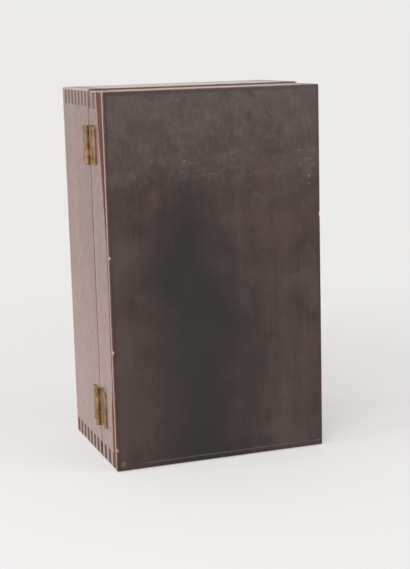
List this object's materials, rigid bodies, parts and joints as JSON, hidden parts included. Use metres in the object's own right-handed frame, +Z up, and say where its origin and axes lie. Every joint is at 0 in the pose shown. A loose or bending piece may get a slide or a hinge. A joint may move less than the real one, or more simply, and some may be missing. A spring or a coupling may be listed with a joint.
{
  "type": "microscope case",
  "caption": "Upright wooden case with comb-jointed corners, a deep hinged door, brass butt hinges and swing hooks, and inner rails for a small microscope.",
  "frame": {"origin": "middle of the rectangle that the closed case stands on, on the underside", "axes": "+Z up, the door faces -Y, the hinges are on the -X side and the hooks on the +X side"},
  "size_m": [0.1758, 0.12, 0.281],
  "materials": {
    "board_wood": "old satin varnish",
    "front_panel_wood": "old satin varnish",
    "back_panel_wood": "old satin varnish",
    "inner_wood": "plain",
    "felt": "felt",
    "hinge_brass": "tarnished",
    "hook_brass": "tarnished"
  },
  "bodies": {
    "body": {"body_top_board": "board_wood", "body_bottom_board": "board_wood", "body_left_board": "board_wood", "body_right_board": "board_wood", "back_panel": "back_panel_wood", "upper_hinge_body_leaf": "hinge_brass", "upper_hinge_pin": "hinge_brass", "lower_hinge_body_leaf": "hinge_brass", "lower_hinge_pin": "hinge_brass", "body_leaf_screws": "hinge_brass", "upper_hook_screw": "hook_brass", "upper_hook_washer": "hook_brass", "lower_hook_screw": "hook_brass", "lower_hook_washer": "hook_brass", "foot_rail_left": "inner_wood", "foot_rail_right": "inner_wood", "foot_cap_left": "inner_wood", "foot_cap_right": "inner_wood", "foot_stop": "inner_wood", "limb_cheek_left": "inner_wood", "limb_cheek_right": "inner_wood", "limb_felt_left": "felt", "limb_felt_right": "felt"},
    "door": {"door_top_rail": "board_wood", "door_bottom_rail": "board_wood", "door_left_stile": "board_wood", "door_right_stile": "board_wood", "door_panel": "front_panel_wood", "upper_hinge_door_leaf": "hinge_brass", "lower_hinge_door_leaf": "hinge_brass", "door_leaf_screws": "hinge_brass", "upper_hook_stud": "hook_brass", "lower_hook_stud": "hook_brass", "tube_pad_block": "inner_wood", "tube_pad_felt": "felt"},
    "upper_hook": {"upper_hook": "hook_brass"},
    "lower_hook": {"lower_hook": "hook_brass"}
  },
  "joints": [
    {"name": "door_hinge", "type": "hinge", "parent": "body", "child": "door", "pos_m": [-0.0858, -0.0195, 0.14], "axis": [0, 0, -1], "range_deg": [0, 175]},
    {"name": "upper_hook_swing", "type": "hinge", "parent": "body", "child": "upper_hook", "pos_m": [0.08495, -0.0055, 0.211], "axis": [1, 0, 0], "range_deg": [-75, 270]},
    {"name": "lower_hook_swing", "type": "hinge", "parent": "body", "child": "lower_hook", "pos_m": [0.08495, -0.0055, 0.07], "axis": [1, 0, 0], "range_deg": [-75, 270]}
  ]
}
